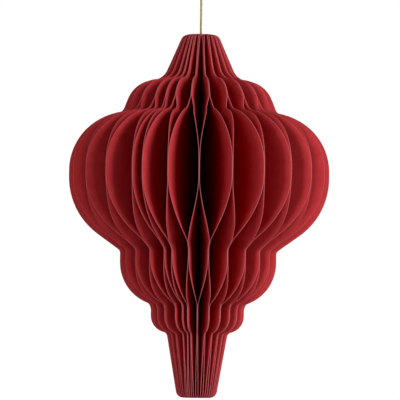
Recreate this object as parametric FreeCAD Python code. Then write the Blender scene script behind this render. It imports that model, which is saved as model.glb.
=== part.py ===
"""Accordion paper lantern: 52 stiff paper leaves bound round a hollow spine, hung on a cord.

Units are millimetres and +Z is up. The origin is the point where a hook bears inside the
hanging loop. The cord and the spine run down the Z axis.

Every leaf has the same outline. Opened, the leaves stand all round the spine and the two
covers, the first and the last leaf, meet at the seam. Folded, all leaves lie flat in one
stack that points away from the seam. The leaves are drawn flat, each at its own angle.
They are glued in pairs, and a cell is the space between one pair and the next.
"""
import FreeCAD, Part
import math
import os

# ---- paper ----
leaf_count = 52            # sheets, the two covers included
leaf_thickness = 0.28      # one cotton paper sheet
stack_gap = 0.14           # air between two sheets of the folded stack
seam_angle = -117.15       # direction of the seam from the spine, in degrees from +X
seam_cell = 4.7            # between the two glued pairs beside the seam, in degrees
tight_cells = (11.5, 13.3)  # the next two cells after the first cover; the others are alike

# ---- outline of a leaf: radii from the axis, and heights from one lobe to the next ----
bottom_radius = 9.6        # bottom neck, at the lower edge
bottom_neck_radius = 15.1  # bottom neck, where it meets the lower lobe
bottom_neck_height = 32.0
lower_radius = 23.0        # lower lobe at its widest
lower_round = 8.2          # under its straight side
lower_side = 3.4
lower_shoulder = 2.6       # from its straight side up to the middle lobe
waist_radius = 38.8        # middle lobe at its widest
middle_round = 21.9        # under its straight side
middle_side = 5.3
main_radius = 64.4         # main lobe at its widest
main_flare = 36.2          # from the middle lobe up to the main lobe's straight side
main_under_round = 34.5    # under its straight side
main_side = 3.4
main_round = 28.6          # over its straight side
upper_radius = 37.1        # upper lobe, where its round would stand upright
upper_shoulder = 1.4       # from the main lobe up to that height
upper_round = 15.0
upper_slope = 20.0         # between upright and the straight side under the round, in degrees
top_neck_radius = 19.0     # top neck, where it meets the upper lobe
top_radius = 8.8           # top neck, at the upper edge
top_neck_height = 23.3
ledge = 0.9                # how far a bigger lobe starts outside the smaller one
end_corner = 3.6           # rounding of the leaf's upper and lower corners
neck_fillet = 9.0          # rounding between the top neck and the upper lobe
shelf_fillet = 4.0         # rounding between the upper lobe and the main lobe
notch_fillet = 2.4         # rounding between the other lobes
wall_share = 0.85          # how much of a straight wall a rounding may use up

# ---- binding ----
thread_diameter = 0.5
thread_clearance = 0.2     # radial, in the punched holes
thread_inset = 1.6         # from the leaf's inner edge to the thread
stitch_inset = 10.0        # from the paper's ends to the first and the last stitch

# ---- hanging cord and its stop ----
cord_diameter = 1.1
cord_run = 21.0            # from the paper up to the loop's knot
loop_length = 24.0         # from the hook down to the knot
loop_bend = 4.5            # centreline radius of the loop's top
loop_knot_diameter = 3.8
loop_knot_length = 4.6
end_knot_diameter = 3.8
end_knot_length = 4.2
washer_diameter = 9.4      # card washer that the leaves hang on
washer_thickness = 1.0
washer_depth = 20.0        # from the upper edge down to the washer
washer_clearance = 0.35    # round the washer, in the leaves' slots
cord_clearance = 0.1       # radial, in the washer's hole

# ---- closing magnets, glued to the inner faces of the covers ----
magnet_diameter = 5.0
magnet_thickness = 0.6
magnet_inset = 11.5        # from a lobe's widest radius to the magnet's middle
magnet_rise = 3.8          # from the middle of the upper lobe's round up to the upper magnet's middle
glue_gap = 0.02

Vec = FreeCAD.Vector
up = Vec(0, 0, 1)
origin = Vec(0, 0, 0)

# ---- what follows from the sizes above ----
leaf_step = 360.0 / leaf_count
spine_radius = (leaf_thickness + stack_gap) / math.radians(leaf_step)
thread_ring_radius = spine_radius + thread_inset
cord_radius = cord_diameter / 2
knot_top = -loop_length
cord_top = knot_top - loop_knot_length
paper_top = cord_top - cord_run


def tangent_point(centre_x, centre_z, radius, x, z, side):
    """Where a line from (x, z) touches a circle; side is 1 or -1 for the two such lines."""
    away = math.hypot(x - centre_x, z - centre_z)
    angle = math.atan2(z - centre_z, x - centre_x) + side * math.acos(radius / away)
    return centre_x + radius * math.cos(angle), centre_z + radius * math.sin(angle)


def line_to(end, rounding=0.0):
    """A straight stretch of the outline."""
    return "line", None, end, rounding


def arc_to(centre_x, centre_z, radius, start, end, rounding=0.0):
    """A round stretch of the outline, which needs a point half way along it."""
    first = math.atan2(start[1] - centre_z, start[0] - centre_x)
    last = math.atan2(end[1] - centre_z, end[0] - centre_x)
    middle = (first + last) / 2
    half_way = (centre_x + radius * math.cos(middle), centre_z + radius * math.sin(middle))
    return "arc", half_way, end, rounding


def rise(radius, centre, x):
    """How far a circle's edge is above or below its centre, at a distance x from the axis."""
    return math.sqrt(radius ** 2 - (x - centre) ** 2)


# ---- centres of the rounds, as radius from the axis and height over the lower edge ----
lower_centre = lower_radius - lower_round
lower_height = bottom_neck_height + rise(lower_round, lower_centre, bottom_neck_radius)
lower_top = lower_height + lower_side
middle_centre = waist_radius - middle_round
middle_height = lower_top + lower_shoulder + rise(middle_round, middle_centre, lower_radius + ledge)
waist_height = middle_height + middle_side
under_centre = main_radius - main_under_round
under_height = waist_height + main_flare
main_centre = main_radius - main_round
main_height = under_height + main_side
upper_centre = upper_radius - upper_round
upper_tilt = math.radians(upper_slope)
upper_foot = upper_centre + upper_round / math.cos(upper_tilt) + upper_shoulder * math.tan(upper_tilt)
main_top = main_height + rise(main_round, main_centre, upper_foot)
upper_height = main_top + upper_shoulder
neck_height = upper_height + rise(upper_round, upper_centre, top_neck_radius)
paper_height = neck_height + top_neck_height

paper_bottom = paper_top - paper_height
washer_top = paper_top - washer_depth
washer_bottom = washer_top - washer_thickness
stitch_heights = (stitch_inset, middle_height, main_height, paper_height - stitch_inset)
magnet_places = ((waist_radius - magnet_inset, middle_height + middle_side / 2),
                 (upper_radius - magnet_inset, upper_height + magnet_rise))


def outline():
    """The leaf's edge, from its upper inner corner round the outside to its lower inner corner.

    Each step is the edge's kind, a point half way along an arc, the edge's end, and the
    rounding of the corner there.
    """
    neck = (top_neck_radius, neck_height)
    upper_side = (upper_centre + upper_round * math.cos(upper_tilt),
                  upper_height + upper_round * math.sin(upper_tilt))
    main_start = (upper_foot, main_top)
    main_upper = (main_radius, main_height)
    main_lower = (main_radius, under_height)
    waist = (waist_radius, waist_height)
    slope = tangent_point(under_centre, under_height, main_under_round, waist[0], waist[1], 1)
    middle_lower = (waist_radius, middle_height)
    middle_end = (lower_radius + ledge, lower_top + lower_shoulder)
    lower_upper = (lower_radius, lower_top)
    lower_lower = (lower_radius, lower_height)
    lower_end = (bottom_neck_radius, bottom_neck_height)
    return [
        line_to((top_radius, paper_height), end_corner),
        line_to(neck, neck_fillet),
        arc_to(upper_centre, upper_height, upper_round, neck, upper_side),
        line_to(main_start, shelf_fillet),
        arc_to(main_centre, main_height, main_round, main_start, main_upper),
        line_to(main_lower),
        arc_to(under_centre, under_height, main_under_round, main_lower, slope),
        line_to(waist, notch_fillet),
        line_to(middle_lower),
        arc_to(middle_centre, middle_height, middle_round, middle_lower, middle_end, notch_fillet),
        line_to(lower_upper),
        line_to(lower_lower),
        arc_to(lower_centre, lower_height, lower_round, lower_lower, lower_end, notch_fillet),
        line_to((bottom_radius, 0.0), end_corner),
    ]


def leaf_point(place):
    """A point of the outline in the plane of a leaf that stands along +X."""
    return Vec(place[0], -leaf_thickness / 2, paper_bottom + place[1])


def edge_near(solid, radius, height):
    """The edge across the leaf's thickness that is nearest to a point of the outline."""
    target = Vec(radius, 0, paper_bottom + height)

    def distance(edge):
        """How far the edge's middle is from the target; the edges along the face don't count."""
        ends = [vertex.Point for vertex in edge.Vertexes]
        across = len(ends) == 2 and abs(abs(ends[0].y - ends[1].y) - leaf_thickness) < 1e-6
        return (edge.CenterOfMass - target).Length if across else math.inf

    return min(solid.Edges, key=distance)


def fitted_rounding(rounding, before, after):
    """A corner's rounding, no larger than the shorter of the two walls beside it can take.

    A rounding reaches about rounding * tan(turn / 2) along each wall.
    """
    turn = before.tangentAt(before.LastParameter).getAngle(after.tangentAt(after.FirstParameter))
    wall = min(before.Length, after.Length)
    return min(rounding, wall_share * wall / math.tan(turn / 2))


def make_leaf():
    """One flat leaf along +X, with its stitch holes and the slot for the washer."""
    inner_top = (spine_radius, paper_height)
    inner_low = (spine_radius, 0.0)
    edges = []
    last = inner_top
    for kind, half_way, end, _ in outline():
        if kind == "line":
            edges.append(Part.LineSegment(leaf_point(last), leaf_point(end)).toShape())
        else:
            edges.append(Part.Arc(leaf_point(last), leaf_point(half_way), leaf_point(end)).toShape())
        last = end
    edges.append(Part.LineSegment(leaf_point(last), leaf_point(inner_low)).toShape())
    edges.append(Part.LineSegment(leaf_point(inner_low), leaf_point(inner_top)).toShape())
    leaf = Part.Face(Part.Wire(edges)).extrude(Vec(0, leaf_thickness, 0))
    for (_, _, end, rounding), before, after in zip(outline(), edges, edges[1:]):
        if rounding:
            fitted = fitted_rounding(rounding, before, after)
            leaf = leaf.makeFillet(fitted, [edge_near(leaf, *end)])

    tools = [washer_slot()]
    for height in stitch_heights:
        middle = Vec(thread_ring_radius, -leaf_thickness, paper_bottom + height)
        hole_radius = thread_diameter / 2 + thread_clearance
        tools.append(Part.makeCylinder(hole_radius, 2 * leaf_thickness, middle, Vec(0, 1, 0)))
    return leaf.cut(Part.makeCompound(tools))


def washer_slot():
    """The block that cuts a leaf's inner edge back round the washer.

    It reaches past the washer's rim by the clearance, which is also enough for a leaf that
    passes a little beside the axis while the stack folds.
    """
    depth = washer_diameter / 2 + washer_clearance
    height = washer_thickness + 2 * washer_clearance
    return Part.makeBox(depth, 2 * leaf_thickness, height,
                        Vec(0, -leaf_thickness, washer_bottom - washer_clearance))


def pair_angles():
    """Directions of the glued pairs from the spine, in degrees, from the first cover's pair on."""
    alike = leaf_count // 2 - 1 - len(tight_cells)
    regular_cell = (360.0 - seam_cell - sum(tight_cells)) / alike
    angles = [seam_angle + seam_cell / 2]
    for cell in tight_cells + (regular_cell,) * alike:
        angles.append(angles[-1] + cell)
    return angles


def leaf_angle(number):
    """Direction of an opened leaf in degrees; the first cover is number 1.

    A leaf stands half way between its glued pair and the middle of the cell on its other side.
    """
    pairs = pair_angles()
    mine = (number - 1) // 2
    if number % 2:
        beside = pairs[mine - 1] - (360.0 if mine == 0 else 0.0)
    else:
        beside = pairs[(mine + 1) % len(pairs)] + (360.0 if mine + 1 == len(pairs) else 0.0)
    return (3 * pairs[mine] + beside) / 4


def placed(shape, number):
    """A copy of a shape that stands along +X, moved to where an opened leaf stands.

    The leaves' inner edges are evenly spaced round the spine, and a leaf that doesn't point
    straight away from the axis passes a little beside it.
    """
    angle = leaf_angle(number)
    even_angle = seam_angle + (number - 0.5) * leaf_step
    copy = shape.copy()
    copy.translate(Vec(0, spine_radius * math.sin(math.radians(even_angle - angle)), 0))
    copy.rotate(origin, up, angle)
    return copy


def make_magnets(side):
    """The magnets of one cover along +X, on its left face (side 1) or its right face (side -1)."""
    discs = []
    for radius, height in magnet_places:
        face = side * (leaf_thickness / 2 + glue_gap)
        middle = Vec(radius, face, paper_bottom + height)
        discs.append(Part.makeCylinder(magnet_diameter / 2, magnet_thickness, middle, Vec(0, side, 0)))
    return Part.makeCompound(discs)


def make_binding_thread():
    """One ring of thread for each stitch height, through every leaf's hole."""
    rings = [Part.makeTorus(thread_ring_radius, thread_diameter / 2, Vec(0, 0, paper_bottom + height))
             for height in stitch_heights]
    return Part.makeCompound(rings)


def make_cord():
    """The taut cord from the loop's knot down through the washer to the end knot."""
    return Part.makeCylinder(cord_radius, cord_top - washer_bottom, Vec(0, 0, washer_bottom))


def make_loop():
    """The hanging loop: two straight strands that rise from the knot, and an arc between them."""
    centre = cord_radius - loop_bend
    foot = cord_radius + glue_gap
    side, height = tangent_point(0, centre, loop_bend, foot, knot_top, 1)
    points = [Vec(-foot, 0, knot_top), Vec(-side, 0, height), Vec(0, 0, cord_radius),
              Vec(side, 0, height), Vec(foot, 0, knot_top)]
    left = Part.LineSegment(points[0], points[1]).toShape()
    bend = Part.Arc(points[1], points[2], points[3]).toShape()
    right = Part.LineSegment(points[3], points[4]).toShape()
    path = Part.Wire([left, bend, right])
    section = Part.Wire([Part.makeCircle(cord_radius, points[0], points[1] - points[0])])
    tube = path.makePipeShell([section], True, False)
    length = 2 * left.Length + bend.Length
    print("loop arc radius", loop_bend, "tube volume share",
          round(tube.Volume / (length * math.pi * cord_radius ** 2), 4))
    below = Part.makeBox(4 * loop_bend, 4 * loop_bend, loop_bend,
                         Vec(-2 * loop_bend, -2 * loop_bend, knot_top - loop_bend))
    return tube.cut(below)


def make_knot(top, length, diameter, end_radius):
    """A tied knot as a barrel with two flat ends, where the cord goes in and comes out."""
    bulge = Part.Arc(Vec(end_radius, 0, top - length), Vec(diameter / 2, 0, top - length / 2),
                     Vec(end_radius, 0, top)).toShape()
    low = Vec(0, 0, top - length)
    high = Vec(0, 0, top)
    edges = [Part.LineSegment(low, Vec(end_radius, 0, top - length)).toShape(), bulge,
             Part.LineSegment(Vec(end_radius, 0, top), high).toShape(),
             Part.LineSegment(high, low).toShape()]
    return Part.Face(Part.Wire(edges)).revolve(origin, up, 360)


def make_washer():
    """The card washer on the cord; the leaves' slots rest on its rim."""
    disc = Part.makeCylinder(washer_diameter / 2, washer_thickness, Vec(0, 0, washer_bottom))
    hole = Part.makeCylinder(cord_radius + cord_clearance, washer_thickness, Vec(0, 0, washer_bottom))
    return disc.cut(hole)


def leaf_name(number):
    """The node name of a leaf."""
    if number == 1:
        return "first_cover"
    if number == leaf_count:
        return "last_cover"
    return f"leaf_{number:02d}"


def main():
    """Write one file for each piece."""
    os.makedirs("parts", exist_ok=True)
    leaf = make_leaf()
    pieces = {leaf_name(n): placed(leaf, n) for n in range(1, leaf_count + 1)}
    pieces["first_cover_magnets"] = placed(make_magnets(1), 1)
    pieces["last_cover_magnets"] = placed(make_magnets(-1), leaf_count)
    pieces["binding_thread"] = make_binding_thread()
    pieces["hanging_cord"] = make_cord()
    pieces["hanging_loop"] = make_loop()
    knot_mouth = 2 * cord_radius + glue_gap
    pieces["loop_knot"] = make_knot(knot_top, loop_knot_length, loop_knot_diameter, knot_mouth)
    pieces["end_knot"] = make_knot(washer_bottom, end_knot_length, end_knot_diameter, knot_mouth)
    pieces["cord_washer"] = make_washer()
    for name, shape in pieces.items():
        shape.exportStep(f"parts/{name}.step")
    print(len(pieces), "pieces; spine radius", round(spine_radius, 3), "paper from",
          round(paper_bottom, 2), "to", round(paper_top, 2), "leaf volume", round(leaf.Volume, 2),
          "solids", len(leaf.Solids), "valid", leaf.isValid())


main()
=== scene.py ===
"""Accordion paper lantern on a twisted gold cord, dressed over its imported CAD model.

Lengths in this file are metres unless a name or a comment says millimetres. The axis of the
lantern is the Z axis. A leaf's points are given by their reach (distance from the axis),
their height over the leaf's lower edge and their shift to the left of the leaf's own plane.
"""
import math

import bpy
import numpy as np
from mathutils import Matrix, Vector


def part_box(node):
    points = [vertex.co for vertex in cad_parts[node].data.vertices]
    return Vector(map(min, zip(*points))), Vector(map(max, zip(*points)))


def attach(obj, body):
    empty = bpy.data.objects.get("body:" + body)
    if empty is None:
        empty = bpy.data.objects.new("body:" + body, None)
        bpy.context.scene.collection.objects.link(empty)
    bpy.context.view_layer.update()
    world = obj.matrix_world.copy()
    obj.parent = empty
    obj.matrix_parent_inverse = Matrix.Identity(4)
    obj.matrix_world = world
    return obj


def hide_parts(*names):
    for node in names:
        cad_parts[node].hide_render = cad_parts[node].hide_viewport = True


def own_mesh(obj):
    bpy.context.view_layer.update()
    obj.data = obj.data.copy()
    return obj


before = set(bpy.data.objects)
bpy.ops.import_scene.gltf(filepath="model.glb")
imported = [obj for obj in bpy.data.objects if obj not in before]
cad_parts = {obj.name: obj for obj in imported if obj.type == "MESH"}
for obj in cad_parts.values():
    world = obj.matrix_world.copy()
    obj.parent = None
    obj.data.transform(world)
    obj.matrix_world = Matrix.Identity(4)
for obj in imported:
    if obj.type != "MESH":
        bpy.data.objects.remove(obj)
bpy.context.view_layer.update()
MM = 0.001
rng = np.random.default_rng(52)

paper_bottom, paper_top = (corner.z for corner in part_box("first_cover"))
leaf_names = ["first_cover", *(f"leaf_{n:02d}" for n in range(2, 52)), "last_cover"]
leaf_count = len(leaf_names)
pair_count = leaf_count // 2


# ---- camera ----

camera_distance = 1.35          # in front of the axis
camera_height = 28 * MM         # over the paper's lower edge
aim_height = 97.7 * MM          # where the line of sight passes the axis, over the same edge
aim_side = 0.6 * MM             # and how far to the right of it
camera_roll = math.radians(0.72)
camera_lens = 245.7             # millimetres, before a frame 36 mm wide


def make_camera():
    """A long lens, near the lantern's lower end and looking slightly up, turned by the roll."""
    camera = bpy.data.objects.new("camera", bpy.data.cameras.new("camera"))
    bpy.context.scene.collection.objects.link(camera)
    camera.data.sensor_width = 36
    camera.data.lens = camera_lens
    camera.data.clip_start = 0.05
    camera.data.clip_end = 50
    camera.location = (0, -camera_distance, paper_bottom + camera_height)
    aim = Vector((aim_side, 0, paper_bottom + aim_height)) - camera.location
    camera.rotation_mode = "QUATERNION"
    roll = Matrix.Rotation(camera_roll, 3, "Z").to_quaternion()
    camera.rotation_quaternion = aim.to_track_quat("-Z", "Y") @ roll
    bpy.context.scene.camera = camera


make_camera()


# ---- materials ----

def linear(code):
    """An sRGB hex colour as linear red, green, blue and alpha.

    A channel up to 0.04045 is divided by 12.92; a larger one is ((v + 0.055) / 1.055) ** 2.4.
    """
    v = np.array([int(code[i:i + 2], 16) for i in (1, 3, 5)]) / 255
    return (*np.where(v <= 0.04045, v / 12.92, ((v + 0.055) / 1.055) ** 2.4).tolist(), 1.0)


def add(owner, kind, inputs=None, **properties):
    """Adds one shader node to a material or a world.

    inputs maps a socket to its value or to the output that feeds it.
    """
    made = owner.node_tree.nodes.new(kind)
    for key, value in properties.items():
        setattr(made, key, value)
    for key, value in (inputs or {}).items():
        if isinstance(value, bpy.types.NodeSocket):
            owner.node_tree.links.new(value, made.inputs[key])
        else:
            made.inputs[key].default_value = value
    return made


def new_material(name):
    """An empty material with its output node."""
    material = bpy.data.materials.new(name)
    material.use_nodes = True
    material.node_tree.nodes.clear()
    return material, add(material, "ShaderNodeOutputMaterial")


def blend_colours(material, factor, first, second):
    """The colour output of a mix between two colours, or between an output and a colour."""
    mix = add(material, "ShaderNodeMix", {0: factor, 6: first, 7: second}, data_type="RGBA")
    return mix.outputs[2]


def cotton_paper():
    """Mould-made cotton paper, dyed in the pulp and lightly pressed.

    The eye gets a deep matt crimson with no gloss, cloudy patches some millimetres wide where
    the pulp lay thicker, short fibres about a third of a millimetre wide, and a soft bright
    fuzz where the sheet is seen edge-on.
    """
    paper, output = new_material("crimson_cotton_paper_pressed")
    place = add(paper, "ShaderNodeTexCoord").outputs["Object"]
    clouds = add(paper, "ShaderNodeTexNoise", {"Vector": place, "Scale": 160.0, "Detail": 3.0,
                                               "Roughness": 0.6})
    fibres = add(paper, "ShaderNodeTexNoise", {"Vector": place, "Scale": 1500.0, "Detail": 4.0,
                                               "Roughness": 0.7, "Distortion": 1.2})
    cloudy = add(paper, "ShaderNodeMapRange", {"Value": clouds.outputs["Fac"], "From Min": 0.3,
                                               "From Max": 0.7})
    fibrous = add(paper, "ShaderNodeMapRange", {"Value": fibres.outputs["Fac"], "From Min": 0.3,
                                                "From Max": 0.7, "To Max": 0.5})
    pulp = blend_colours(paper, cloudy.outputs[0], linear("#A62E32"), linear("#B0373A"))
    dyed = blend_colours(paper, fibrous.outputs[0], pulp, linear("#97252A"))
    bump = add(paper, "ShaderNodeBump", {"Height": fibres.outputs["Fac"], "Strength": 0.35,
                                         "Distance": 0.06 * MM})
    shader = add(paper, "ShaderNodeBsdfPrincipled", {
        "Base Color": dyed, "Roughness": 1.0, "IOR": 1.5, "Specular IOR Level": 0.06,
        "Sheen Weight": 0.02, "Sheen Roughness": 0.5, "Sheen Tint": linear("#F2A4A0"),
        "Normal": bump.outputs[0]})
    paper.node_tree.links.new(shader.outputs[0], output.inputs[0])
    return paper


def cut_edge():
    """The same paper where a die cut through it.

    The eye gets a paler, dusty line, because the cut shows the undyed hearts of the fibres
    and small torn ends that catch the light.
    """
    edge, output = new_material("crimson_cotton_paper_die_cut")
    place = add(edge, "ShaderNodeTexCoord").outputs["Object"]
    torn = add(edge, "ShaderNodeTexNoise", {"Vector": place, "Scale": 900.0, "Detail": 3.0})
    colour = blend_colours(edge, torn.outputs["Fac"], linear("#96494D"), linear("#AA6064"))
    bump = add(edge, "ShaderNodeBump", {"Height": torn.outputs["Fac"], "Strength": 0.5,
                                        "Distance": 0.08 * MM})
    shader = add(edge, "ShaderNodeBsdfPrincipled", {
        "Base Color": colour, "Roughness": 1.0, "IOR": 1.5, "Specular IOR Level": 0.1,
        "Normal": bump.outputs[0]})
    edge.node_tree.links.new(shader.outputs[0], output.inputs[0])
    return edge


def gold_thread():
    """Metallised polyester yarn, twisted from flat gold strips.

    The eye gets a yellow metal with small broken glints: the strips lie across each strand
    every 0.3 mm, and their rims are a painted shade of dark olive gold, their middles a painted
    glint.
    """
    gold, output = new_material("gold_metallised_yarn_twisted_painted_light")
    place = add(gold, "ShaderNodeUVMap", uv_map="yarn").outputs[0]
    strips_and_painted_light = add(gold, "ShaderNodeTexWave", {"Vector": place, "Scale": 1.0, "Distortion": 1.5,
                                             "Detail": 2.0}, bands_direction="DIAGONAL")
    # painted light: #6A6226 is painted shade and #CFC674 a painted pale glint, banded along each
    # strip
    colour = blend_colours(gold, strips_and_painted_light.outputs["Fac"], linear("#6A6226"), linear("#CFC674"))
    bump = add(gold, "ShaderNodeBump", {"Height": strips_and_painted_light.outputs["Fac"], "Strength": 0.6,
                                        "Distance": 0.05 * MM})
    shader = add(gold, "ShaderNodeBsdfPrincipled", {
        "Base Color": colour, "Metallic": 0.9, "Roughness": 0.36, "Normal": bump.outputs[0]})
    gold.node_tree.links.new(shader.outputs[0], output.inputs[0])
    return gold


def linen_thread():
    """Waxed linen bookbinding thread, spun and dyed red.

    The eye gets a dull soft shine along the thread, broken by slubs about 0.4 mm long.
    """
    thread, output = new_material("red_linen_thread_waxed")
    place = add(thread, "ShaderNodeTexCoord").outputs["Object"]
    slubs = add(thread, "ShaderNodeTexNoise", {"Vector": place, "Scale": 2500.0, "Detail": 2.0})
    colour = blend_colours(thread, slubs.outputs["Fac"], linear("#7C1820"), linear("#A02C33"))
    bump = add(thread, "ShaderNodeBump", {"Height": slubs.outputs["Fac"], "Strength": 0.5,
                                          "Distance": 0.05 * MM})
    shader = add(thread, "ShaderNodeBsdfPrincipled", {
        "Base Color": colour, "Roughness": 0.55, "IOR": 1.45, "Normal": bump.outputs[0]})
    thread.node_tree.links.new(shader.outputs[0], output.inputs[0])
    return thread


def nickel_plate():
    """Nickel plate over a pressed neodymium disc.

    The eye gets a bright grey metal with a satin blur from tumbling and faint pits 0.5 mm
    apart.
    """
    nickel, output = new_material("nickel_plate_tumbled")
    place = add(nickel, "ShaderNodeTexCoord").outputs["Object"]
    pits = add(nickel, "ShaderNodeTexNoise", {"Vector": place, "Scale": 2000.0, "Detail": 3.0})
    rough = add(nickel, "ShaderNodeMapRange", {"Value": pits.outputs["Fac"], "To Min": 0.22,
                                               "To Max": 0.38})
    bump = add(nickel, "ShaderNodeBump", {"Height": pits.outputs["Fac"], "Strength": 0.15,
                                          "Distance": 0.03 * MM})
    colour = blend_colours(nickel, pits.outputs["Fac"], linear("#B9B6AE"), linear("#CBC8C0"))
    shader = add(nickel, "ShaderNodeBsdfPrincipled", {
        "Base Color": colour, "Metallic": 1.0, "Roughness": rough.outputs[0],
        "Normal": bump.outputs[0]})
    nickel.node_tree.links.new(shader.outputs[0], output.inputs[0])
    return nickel


def grey_card():
    """Unbleached grey board, stamped out as a washer.

    The eye gets a dull warm grey with darker flecks of recycled pulp under a millimetre wide.
    """
    card, output = new_material("grey_board_stamped")
    place = add(card, "ShaderNodeTexCoord").outputs["Object"]
    flecks = add(card, "ShaderNodeTexVoronoi", {"Vector": place, "Scale": 1800.0})
    pulp = add(card, "ShaderNodeTexNoise", {"Vector": place, "Scale": 900.0, "Detail": 4.0})
    fleck = add(card, "ShaderNodeMapRange", {"Value": flecks.outputs["Distance"],
                                             "From Min": 0.1, "From Max": 0.35})
    colour = blend_colours(card, pulp.outputs["Fac"], linear("#A79C8A"), linear("#8E8475"))
    colour = blend_colours(card, fleck.outputs[0], linear("#6E665A"), colour)
    bump = add(card, "ShaderNodeBump", {"Height": pulp.outputs["Fac"], "Strength": 0.4,
                                        "Distance": 0.05 * MM})
    shader = add(card, "ShaderNodeBsdfPrincipled", {
        "Base Color": colour, "Roughness": 0.9, "IOR": 1.5, "Normal": bump.outputs[0]})
    card.node_tree.links.new(shader.outputs[0], output.inputs[0])
    return card


paper, edge, gold = cotton_paper(), cut_edge(), gold_thread()
linen, nickel, card = linen_thread(), nickel_plate(), grey_card()


# ---- making pieces ----

def grid_faces(rows, columns, closed=False):
    """Four-sided faces between a grid's neighbours; closed joins its last column to its first."""
    row = np.arange(rows - 1)[:, None] * columns
    column = np.arange(columns if closed else columns - 1)[None, :]
    beside = (column + 1) % columns
    corners = [row + column, row + beside, row + columns + beside, row + columns + column]
    return np.stack(corners, -1).reshape(-1, 4)


def make_piece(name, points, faces, materials, body, slot, stands_for):
    """A smooth mesh that rides on a CAD body and is shown in place of CAD nodes."""
    mesh = bpy.data.meshes.new(name)
    mesh.from_pydata(np.reshape(points, (-1, 3)).tolist(), [], faces)
    mesh.shade_smooth()
    for material in materials:
        mesh.materials.append(material)
    made = bpy.data.objects.new(name, mesh)
    bpy.context.scene.collection.objects.link(made)
    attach(made, body)
    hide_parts(*stands_for)
    return made


def give_thickness(made, thickness):
    """A live wall on both sides of a single sheet; its cut edge takes the piece's last material."""
    wall = made.modifiers.new("thickness", "SOLIDIFY")
    wall.thickness = thickness
    wall.offset = 0
    wall.material_offset_rim = len(made.data.materials) - 1


# ---- hanging cord ----

cord_diameter = 1.1 * MM
strand_radius = 0.26 * MM
strand_lead = 3.6 * MM        # length in which a strand goes once round the cord
strand_sides = 8
path_step = 0.15 * MM         # between the points of a cord's centreline
strip_spacing = 0.3 * MM      # between the gold strips along a strand
strips_round = 4              # strips met on the way once round a strand
knot_diameter = 3.7 * MM
knot_points = 260             # along a knot's winding
knot_pitch = 1.02             # cord diameters between its turns, less the half turn added
knot_swell = 1.9              # the larger, the sooner a knot has its full width
tail_side = 0.57 * MM         # from the axis to each end of the loop
knot_top, cord_top = (corner.z for corner in reversed(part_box("loop_knot")))
washer_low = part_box("cord_washer")[0].z
end_knot_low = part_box("end_knot")[0].z

# the points of the two routes, in millimetres
cord_route = [(0, 0, -28.6), (0, 0, -49.6), (0, 0, -70.6)]
loop_route = [(-0.57, 0, -24), (-2.7, 0, -13.5), (-4.9, 0, -4.6), (-4.2, 0, 0.5), (0, 0, 0.7),
              (4.2, 0, 0.5), (4.9, 0, -4.6), (2.7, 0, -13.5), (0.57, 0, -24)]


def centreline(route):
    """Evenly spaced points along the smooth NURBS spline of a route, read from its curve."""
    curve = bpy.data.curves.new("route", "CURVE")
    curve.dimensions = "3D"
    curve.resolution_u = 24
    spline = curve.splines.new("NURBS")
    spline.points.add(len(route) - 1)
    spline.points.foreach_set("co", np.c_[np.array(route) * MM, np.ones(len(route))].ravel())
    spline.order_u = 3
    spline.use_endpoint_u = True
    holder = bpy.data.objects.new("route", curve)
    mesh = bpy.data.meshes.new_from_object(holder)
    points = np.zeros(len(mesh.vertices) * 3)
    mesh.vertices.foreach_get("co", points)
    points = points.reshape(-1, 3)
    bpy.data.objects.remove(holder)
    bpy.data.meshes.remove(mesh)
    bpy.data.curves.remove(curve)
    run = np.r_[0, np.cumsum(np.linalg.norm(np.diff(points, axis=0), axis=1))]
    even = np.linspace(0, run[-1], int(run[-1] / path_step) + 2)
    return np.stack([np.interp(even, run, points[:, k]) for k in range(3)], -1)


def across(path, towards):
    """Two unit vectors square to a path at each point; the first leans towards a given direction.

    The first is that direction less its share along the tangent, and the second is the
    tangent crossed with the first.
    """
    tangent = np.gradient(path, axis=0)
    tangent /= np.linalg.norm(tangent, axis=1)[:, None]
    first = towards - (tangent @ towards)[:, None] * tangent
    first /= np.linalg.norm(first, axis=1)[:, None]
    return first, np.cross(tangent, first)


def tube(path, radius, sides, towards):
    """Rings of points round a path: path + radius * (cos a * first + sin a * second)."""
    first, second = across(path, towards)
    a = np.linspace(0, 2 * np.pi, sides, endpoint=False)[None, :, None]
    return path[:, None] + radius * (np.cos(a) * first[:, None] + np.sin(a) * second[:, None])


def closed_tube_faces(rows, sides, start):
    """The walls of a tube whose points begin at a given number, and its two flat ends."""
    end = start + rows * sides
    walls = (grid_faces(rows, sides, closed=True) + start).tolist()
    return walls + [list(range(start + sides - 1, start - 1, -1)), list(range(end - sides, end))]


def yarn(paths, towards):
    """Points and faces of three twisted strands along each path.

    A strand's centre goes round the path once in each lead, at 2 / sqrt(3) strand radii,
    where three strands just touch. Every strand is a round tube with its two ends closed.
    """
    points, faces = [], []
    sides = strand_sides
    for path in paths:
        first, second = across(path, towards)
        run = np.r_[0, np.cumsum(np.linalg.norm(np.diff(path, axis=0), axis=1))]
        for k in range(3):
            turn = (2 * np.pi * (run / strand_lead + k / 3))[:, None]
            centre = path + 2 / 3 ** 0.5 * strand_radius * (np.cos(turn) * first
                                                            + np.sin(turn) * second)
            start = sum(map(len, points))
            points.append(tube(centre, strand_radius, sides, towards).reshape(-1, 3))
            faces += closed_tube_faces(len(path), sides, start)
    return np.concatenate(points), faces


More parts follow.
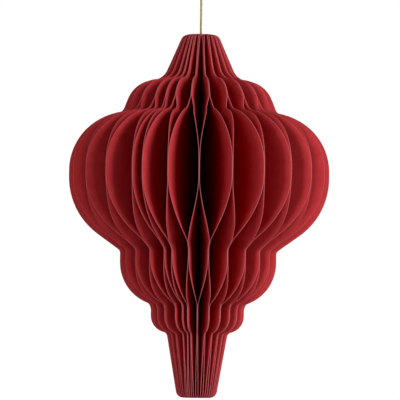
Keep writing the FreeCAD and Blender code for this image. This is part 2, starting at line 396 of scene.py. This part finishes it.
def yarn_map(made):
    """A UV map for the strips of gold, which counts strips round a strand and along it.

    A band of the wave texture is pi / 5 wide. The walls that close the round run on to the
    full turn instead of back to nought.
    """
    mesh = made.data
    corner = np.zeros(len(mesh.loops), np.int32)
    mesh.loops.foreach_get("vertex_index", corner)
    start, count = np.zeros((2, len(mesh.polygons)), np.int32)
    mesh.polygons.foreach_get("loop_start", start)
    mesh.polygons.foreach_get("loop_total", count)
    side = corner % strand_sides
    closing = start[(count == 4) & (side[start] == strand_sides - 1)]
    side[closing + 1] = side[closing + 2] = strand_sides
    along = corner // strand_sides * path_step / strip_spacing
    place = np.pi / 5 * np.stack([side / strand_sides * strips_round, along], -1)
    mesh.uv_layers.new(name="yarn").data.foreach_set("uv", place.ravel().astype(np.float32))


def barrel_knot(name, top, bottom, tails):
    """A barrel knot: the cord wound up round itself, with its two ends tucked in.

    The winding is a helix, with t from 0 to 1 along it. Its radius is the full one times
    knot_swell * sqrt(sin(pi * t)), limited to 1, so it dies away at both ends. Straight cord
    runs through its middle.
    """
    length = top - bottom
    full = 0.5 * (knot_diameter - cord_diameter)
    turns = (length - cord_diameter) / (knot_pitch * cord_diameter)
    t = np.linspace(0, 1, knot_points)
    radius = full * np.minimum(1, knot_swell * np.sqrt(np.sin(np.pi * t) + 1e-4))
    angle = 2 * np.pi * (turns + 0.5) * t
    height = bottom + cord_diameter / 2 + (length - cord_diameter) * t
    winding = np.stack([radius * np.cos(angle), radius * np.sin(angle), height], -1)
    heights = np.arange(bottom, top, path_step)
    cores = [np.stack([0 * heights + x, 0 * heights, heights], -1) for x in tails]
    core_points, core_faces = yarn(cores, np.array([0.0, 1.0, 0.0]))
    points, faces = yarn([winding], np.array([0.0, 0.0, 1.0]))
    faces += [[v + len(points) for v in face] for face in core_faces]
    made = make_piece(name, np.concatenate([points, core_points]), faces, [gold], "cord",
                      "gold_cord", [])
    yarn_map(made)
    return made


def make_cords():
    """The taut cord through the washer, its hanging loop, and the knots at its two ends."""
    side = np.array([0.0, 1.0, 0.0])
    cord_path, loop_path = centreline(cord_route), centreline(loop_route)
    cord_piece = make_piece("gold_cord", *yarn([cord_path], side), [gold], "cord",
                            "gold_cord", ["hanging_cord"])
    loop_piece = make_piece("gold_loop", *yarn([loop_path], side), [gold], "cord",
                            "gold_cord", ["hanging_loop"])
    yarn_map(cord_piece)
    yarn_map(loop_piece)
    upper = barrel_knot("gold_loop_knot", knot_top, cord_top, (-tail_side, tail_side))
    lower = barrel_knot("gold_end_knot", washer_low, end_knot_low, (0,))
    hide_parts("loop_knot")
    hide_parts("end_knot")


make_cords()


# ---- leaves ----

def leaf_plane(name):
    """A leaf's direction from the axis, left normal, plane's shift from the axis, and points.

    The direction is the long principal direction of the points of one of its two faces, seen
    from above, and the shift is half way between the faces.
    """
    points = np.zeros(len(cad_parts[name].data.vertices) * 3)
    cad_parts[name].data.vertices.foreach_get("co", points)
    points = points.reshape(-1, 3)
    flat = points[:, :2]
    kept = flat
    for _ in range(2):
        along = np.linalg.svd(kept - kept.mean(0), full_matrices=False)[2][0]
        along *= np.sign(along @ kept.mean(0))
        left = np.array([-along[1], along[0]])
        shift = flat @ left
        middle = (shift.min() + shift.max()) / 2
        kept = flat[shift > middle]
    return along, left, middle, points


def leaf_outline(along, points):
    """Heights over the lower edge and reaches of the rows of a leaf's surface.

    The edge is the farthest point at each height of the CAD leaf, apart from the stitch holes
    and the slot near the spine. Rows are spaced evenly by the edge's length plus the turn
    length times the radians that it turns, so that notches get more rows.
    """
    height, reach = points[:, 2] - paper_bottom, points[:, :2] @ along
    ends = (height < level_step / 2) | (height > paper_top - paper_bottom - level_step / 2)
    kept = ends | (reach > holed_reach)
    steps, place = np.unique(np.round(height[kept] / level_step), return_inverse=True)
    heights, reaches = steps * level_step, np.zeros(len(steps))
    np.maximum.at(reaches, place, reach[kept])
    run = np.hypot(np.diff(heights), np.diff(reaches))
    turned = np.abs(np.diff(np.unwrap(np.arctan2(np.diff(reaches), np.diff(heights)))))
    spread = np.r_[0, np.cumsum(run + turn_length * (np.r_[turned, 0] + np.r_[0, turned]) / 2)]
    even = np.linspace(0, spread[-1], leaf_rows)
    return np.interp(even, spread, heights), np.interp(even, spread, reaches)


leaf_rows = 190
leaf_columns = 15
column_crowding = 1.15         # over 1, the columns stand closer together towards the spine
level_step = 0.02 * MM         # heights this close are one level of the outline
holed_reach = 5.9 * MM         # within it a leaf has its stitch holes and its slot
turn_length = 4 * MM           # of the edge, which a radian of its turning counts as
leaf_thickness = 0.28 * MM
glue_film = 0.02 * MM          # between a sheet and the middle of the glue
rooted_length = 12 * MM        # from the spine to where a leaf is free to sway
belly_limit = 0.35 * MM
belly_length = 70 * MM         # half a wave of a belly, from the axis outwards
planes = [leaf_plane(name) for name in leaf_names]
leaf_angles = np.degrees(np.unwrap([math.atan2(p[0][1], p[0][0]) for p in planes]))
spine_radius = 3.476 * MM      # where 52 sheets stand side by side with 0.14 mm between them
heights, reaches = leaf_outline(planes[0][0], planes[0][3])


def pair_angles():
    """Directions of the glued pairs, worked out from the leaves' own directions.

    A leaf stands a quarter of a cell from its own pair, so its direction is three quarters of
    its own pair's and one quarter of the pair's on its other side; least squares solves the
    52 sums for the 26 pairs.
    """
    own = np.arange(leaf_count) // 2
    step = np.where(np.arange(leaf_count) % 2, 1, -1)
    wrapped = 360.0 * ((own + step) // pair_count)
    share = np.zeros((leaf_count, pair_count))
    share[np.arange(leaf_count), own] += 0.75
    share[np.arange(leaf_count), (own + step) % pair_count] += 0.25
    return np.linalg.lstsq(share, leaf_angles - 0.25 * wrapped, rcond=None)[0]


# share of the two slips that each pair gets: less for the half of the pairs near the seam
evenness = np.where((np.arange(pair_count) < 9) | (np.arange(pair_count) > 21), 0.35, 1.0)
glue_slip = 0.45               # degrees that a glue line may be off its even place
end_slip = 1.2                 # millimetres that its ends may be off theirs
# degrees by which the covers pull a pair's line at the lower and at the middle lobe
lower_pull = {0: 6.3, 1: 1.45, 25: 1.9}
middle_pull = {25: 2.4}
sway_powers = (2.3, 1.8, 1.8, 1.6)    # of the four stretches between glue lines, going down


def glue_lines():
    """Where each leaf's edge stands at its glue lines, in degrees from its own plane.

    The leaves are glued to one neighbour at the main and the lower lobe, which makes the
    pairs, and to the other neighbour half a cell further at the neck, the upper lobe and the
    middle lobe. Hand gluing leaves each line a little off its even place; beside the seam the
    covers pull the lines of the lower and the middle lobe to one side.
    """
    pairs = pair_angles()
    beside = (pairs + np.r_[pairs[1:], pairs[0] + 360]) / 2
    leaf = np.arange(leaf_count)
    own, other = leaf // 2, (leaf - 1) // 2 % pair_count
    turn = np.where(leaf == 0, -360.0, 0.0)
    off = rng.uniform(-glue_slip, glue_slip, (4, pair_count)) * evenness
    off[1, list(lower_pull)] += list(lower_pull.values())
    off[3, list(middle_pull)] += list(middle_pull.values())
    main, lower = pairs + off[0], pairs + off[1]
    upper, middle = beside + off[2], beside + off[3]
    edges = [upper[other] + turn, main[own], middle[other] + turn, lower[own], leaf_angles]
    return np.array(edges) - leaf_angles


def glue_heights():
    """Heights of the glue lines' ends on each leaf, in metres over the leaf's lower edge.

    The list has them in millimetres, each with the pair that is glued there. Two glued leaves
    share their line's ends, which are a little off their even places. The first two heights
    are the ends of the stretch in which the leaves go over from the neck's glue to the main
    lobe's, and so on, by twos, down to the lower lobe's lower end.
    """
    leaf = np.arange(leaf_count)
    own, other = leaf // 2, (leaf - 1) // 2 % pair_count
    off = rng.uniform(-end_slip, end_slip, (7, pair_count)) * evenness
    lines = [(146.5, other), (112, own), (105.7, own), (76.2, other), (68.3, other), (45, own),
             (32, own)]
    return np.array([height + off[k][pair] for k, (height, pair) in enumerate(lines)]) * MM


def sway():
    """Edge angle from the leaf's plane, glue side and looseness at each height of each leaf.

    From one glue line down to the next the edge goes over as x ** p, with x from 0 to 1 on
    the way down. From the neck to the main lobe it is 1 - (1 - x) ** p instead, because there
    the edge leaves sharply and arrives smoothly; at the others it leaves smoothly. The side
    is +1 where the leaf touches its own pair, -1 where it touches the other neighbour and 0
    at the lower edge; looseness is 4 x (1 - x), so it is 1 half way between two glue lines.
    """
    lines, ends = glue_lines(), glue_heights()
    sides = (-1, 1, -1, 1, 0)
    starts, stops = ends[0::2], [*ends[1::2], 0 * ends[0]]
    angle = lines[0][:, None] + 0 * heights
    side = sides[0] + 0 * angle
    loose = 0 * angle
    for k, power in enumerate(sway_powers):
        x = np.clip((starts[k][:, None] - heights) / (starts[k] - stops[k])[:, None], 0, 1)
        gone = 1 - (1 - x) ** power if k == 0 else x ** power
        angle = angle + (lines[k + 1] - lines[k])[:, None] * gone
        side = side + (sides[k + 1] - sides[k]) * gone
        loose = loose + 4 * x * (1 - x)
    return np.radians(angle), side, loose


edge_angle, glue_side, looseness = sway()
washer_low_high = [corner.z - paper_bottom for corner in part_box("cord_washer")]
washer_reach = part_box("cord_washer")[1].x
washer_clearance = 0.35 * MM


def leaf_shift(index, reach, row):
    """Shift of a leaf from its plane at a reach, on a row of its surface.

    It is reach * sin(edge angle), less half a sheet and the glue film on the side where the
    leaf is glued. Over the rooted length it grows out of the leaf's own plane as
    r * r * (3 - 2 r), with r from 0 to 1. Between glue lines the sheet also bellies a little,
    as looseness * sin(pi * reach / belly length).
    """
    mine = 1 if index % 2 == 0 else -1
    middle = planes[index][2]
    held = mine * glue_side[index][row] * (leaf_thickness / 2 + glue_film)
    free = reach * np.sin(edge_angle[index][row]) - held
    r = np.clip((reach - spine_radius) / rooted_length, 0, 1)
    rise = r * r * (3 - 2 * r)
    belly = belly_size[index] * looseness[index][row] * np.sin(np.pi * reach / belly_length)
    return middle * (1 - rise) + rise * (free + belly)


belly_size = rng.uniform(-1, 1, leaf_count) * belly_limit


def make_leaf(index):
    """One leaf: rows at its heights, columns from its inner edge out to its outline.

    A point stands at sqrt(reach^2 - shift^2) along the leaf and at its shift to the left of the
    axis. Round the washer the inner edge is cut back by the washer's clearance.
    """
    low, high = washer_low_high[0] - washer_clearance, washer_low_high[1] + washer_clearance
    step = level_step / 2
    row_heights = np.sort(np.r_[heights, low - step, low, high, high + step])
    row = np.interp(row_heights, heights, np.arange(leaf_rows))
    whole = np.minimum(row.astype(int), leaf_rows - 2)
    part = (row - whole)[:, None]
    outer = np.interp(row_heights, heights, reaches)
    slot = (row_heights > low - step / 2) & (row_heights < high + step / 2)
    inner = np.where(slot, washer_reach + washer_clearance, spine_radius)
    across_leaf = np.linspace(0, 1, leaf_columns) ** column_crowding
    reach = inner[:, None] + across_leaf * (outer - inner)[:, None]
    shift = ((1 - part) * leaf_shift(index, reach, whole[:, None])
             + part * leaf_shift(index, reach, whole[:, None] + 1))
    along, left, middle, _ = planes[index]
    flat = (np.sqrt(reach ** 2 - shift ** 2)[..., None] * along + shift[..., None] * left)
    z = np.broadcast_to(paper_bottom + row_heights[:, None], reach.shape)
    points = np.concatenate([flat, z[..., None]], -1)
    faces = grid_faces(len(row_heights), leaf_columns).tolist()
    name = leaf_names[index]
    made = make_piece(f"{name}_paper", points, faces, [paper, edge], f"{name}_body", "paper",
                      [name])
    give_thickness(made, leaf_thickness)
    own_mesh(made)
    return made


for index in range(leaf_count):
    make_leaf(index)


# ---- magnets ----

magnet_thickness = 0.6 * MM
magnet_radius = 2.5 * MM
magnet_rings = 6
magnet_spokes = 32
first_ring = 0.02              # of the magnet's radius


def make_magnets(index, side, node):
    """Two flat discs on the inner face of a cover, which they follow.

    A disc is rings of points round its middle, in reach and height, at the cover's shift plus
    half of both thicknesses and the glue film.
    """
    low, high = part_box(node)
    thickness, radius = magnet_thickness, magnet_radius
    along, left, middle, _ = planes[index]
    points = np.zeros(len(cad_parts[node].data.vertices) * 3)
    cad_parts[node].data.vertices.foreach_get("co", points)
    points = points.reshape(-1, 3)
    rings, spokes = magnet_rings, magnet_spokes
    lift = side * (leaf_thickness / 2 + glue_film + thickness / 2)
    out, faces = [], []
    for centre_z, group in ((low.z + radius, points[points[:, 2] < (low.z + high.z) / 2]),
                            (high.z - radius, points[points[:, 2] > (low.z + high.z) / 2])):
        centre_reach = (group[:, :2] @ along).min() + radius
        size = np.linspace(first_ring, 1, rings)[:, None] * radius
        turn = np.linspace(0, 2 * np.pi, spokes, endpoint=False)[None, :]
        reach = centre_reach + size * np.cos(turn)
        height = centre_z - paper_bottom + size * np.sin(turn)
        row = np.interp(height, heights, np.arange(leaf_rows)).astype(int)
        shift = leaf_shift(index, reach, row) + lift
        flat = np.sqrt(reach ** 2 - shift ** 2)[..., None] * along + shift[..., None] * left
        disc = np.concatenate([flat, (height + paper_bottom)[..., None]], -1).reshape(-1, 3)
        start = sum(map(len, out))
        out.append(disc)
        faces += (grid_faces(rings, spokes, closed=True) + start).tolist()
        faces.append(list(range(start + spokes - 1, start - 1, -1)))
    name = leaf_names[index]
    made = make_piece(f"{name}_magnet_discs", np.concatenate(out), faces, [nickel],
                      f"{name}_body", "magnet", [node])
    give_thickness(made, thickness)
    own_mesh(made)


make_magnets(0, 1, "first_cover_magnets")
make_magnets(leaf_count - 1, -1, "last_cover_magnets")


# ---- binding thread ----

thread_radius = 0.25 * MM
stitch_points = 5
stitch_sides = 8
ring_gap = 5 * MM              # the rings stand farther apart than this
upright = np.array([0.0, 0.0, 1.0])


def make_stitches(index):
    """The thread through one leaf: an arc of each of the four rings, half way to each neighbour.

    An arc's point is ring radius * (cos a, sin a) at the ring's height, and a tube goes round
    it. The tube's two ends are flat, where the next leaf's stitches begin.
    """
    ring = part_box("binding_thread")[1].x - thread_radius
    even = seam_angle + (index + 0.5) * 360 / leaf_count
    turn = np.radians(even + np.linspace(-0.5, 0.5, stitch_points) * 360 / leaf_count)
    points, faces = [], []
    for height in stitch_heights:
        path = np.stack([ring * np.cos(turn), ring * np.sin(turn), 0 * turn + height], -1)
        start = sum(map(len, points))
        points.append(tube(path, thread_radius, stitch_sides, upright).reshape(-1, 3))
        faces += closed_tube_faces(len(path), stitch_sides, start)
    name = leaf_names[index]
    made = make_piece(f"{name}_stitches", np.concatenate(points), faces, [linen],
                      f"{name}_body", "thread", ["binding_thread"])
    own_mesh(made)


thread_points = np.zeros(len(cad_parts["binding_thread"].data.vertices) * 3)
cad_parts["binding_thread"].data.vertices.foreach_get("co", thread_points)
thread_levels = np.sort(thread_points.reshape(-1, 3)[:, 2])
breaks = np.flatnonzero(np.diff(thread_levels) > ring_gap)
stitch_heights = [part.mean() for part in np.split(thread_levels, breaks + 1)]
seam_angle = (leaf_angles[0] + leaf_angles[-1] - 360) / 2
for index in range(leaf_count):
    make_stitches(index)


# ---- washer ----

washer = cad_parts["cord_washer"]
washer.data.materials.clear()
washer.data.materials.append(card)


# ---- studio ----

floor_radius = 1.3
floor_sides = 96
floor_depth = 70 * MM           # under the paper
room_light = 0.32               # how strongly the white surround lights the lantern
room_seen = 1.02                # and how bright it looks
shadow_floor = 0.003            # light at or under this level comes out black
# each lamp's place from the lantern's middle, its size and its watts
lamps = [("left_softbox", (-0.8, -1.0, 0.35), 0.9, 5.2),
         ("right_softbox", (1.0, -0.9, 0.3), 0.8, 19.0)]


def make_floor():
    """A pale round floor under the hanging lantern."""
    floor_mesh = bpy.data.meshes.new("floor")
    turn = np.linspace(0, 2 * np.pi, floor_sides, endpoint=False)
    rim = np.stack([floor_radius * np.cos(turn), floor_radius * np.sin(turn),
                    0 * turn + paper_bottom - floor_depth], -1)
    floor_mesh.from_pydata(rim.tolist(), [], [list(range(floor_sides))])
    floor = bpy.data.objects.new("floor", floor_mesh)
    bpy.context.scene.collection.objects.link(floor)
    sheet, output = new_material("white_background_paper_matt")
    place = add(sheet, "ShaderNodeTexCoord").outputs["Object"]
    grain = add(sheet, "ShaderNodeTexNoise", {"Vector": place, "Scale": 400.0})
    tone = blend_colours(sheet, grain.outputs["Fac"], linear("#F1F0EE"), linear("#F6F5F3"))
    shader = add(sheet, "ShaderNodeBsdfPrincipled", {"Base Color": tone, "Roughness": 0.9})
    sheet.node_tree.links.new(shader.outputs[0], output.inputs[0])
    floor_mesh.materials.append(sheet)


def make_surround():
    """A white room: the eye sees it brighter than it lights the lantern."""
    world = bpy.data.worlds.new("studio")
    world.use_nodes = True
    world.node_tree.nodes.clear()
    white = (1, 1, 1, 1)
    room = add(world, "ShaderNodeBackground", {"Color": white, "Strength": room_light})
    seen = add(world, "ShaderNodeBackground", {"Color": white, "Strength": room_seen})
    looking = add(world, "ShaderNodeLightPath").outputs["Is Camera Ray"]
    mix = add(world, "ShaderNodeMixShader", {0: looking, 1: room.outputs[0], 2: seen.outputs[0]})
    add(world, "ShaderNodeOutputWorld", {"Surface": mix.outputs[0]})
    bpy.context.scene.world = world


def make_lamps():
    """Two soft lamps in front, the right one stronger, each turned to the lantern's middle."""
    middle = Vector((0, 0, (paper_bottom + paper_top) / 2))
    for name, offset, size, power in lamps:
        lamp = bpy.data.objects.new(name, bpy.data.lights.new(name, "AREA"))
        bpy.context.scene.collection.objects.link(lamp)
        lamp.data.size = size
        lamp.data.energy = power
        lamp.location = middle + Vector(offset)
        lamp.rotation_mode = "QUATERNION"
        lamp.rotation_quaternion = (-Vector(offset)).to_track_quat("-Z", "Y")


def set_contrast():
    """Plain colours, with the deepest shadows drawn down a little to black."""
    view = bpy.context.scene.view_settings
    view.view_transform = "Standard"
    view.use_curve_mapping = True
    view.curve_mapping.black_level = (shadow_floor,) * 3
    view.curve_mapping.update()


make_floor()
make_surround()
make_lamps()
set_contrast()
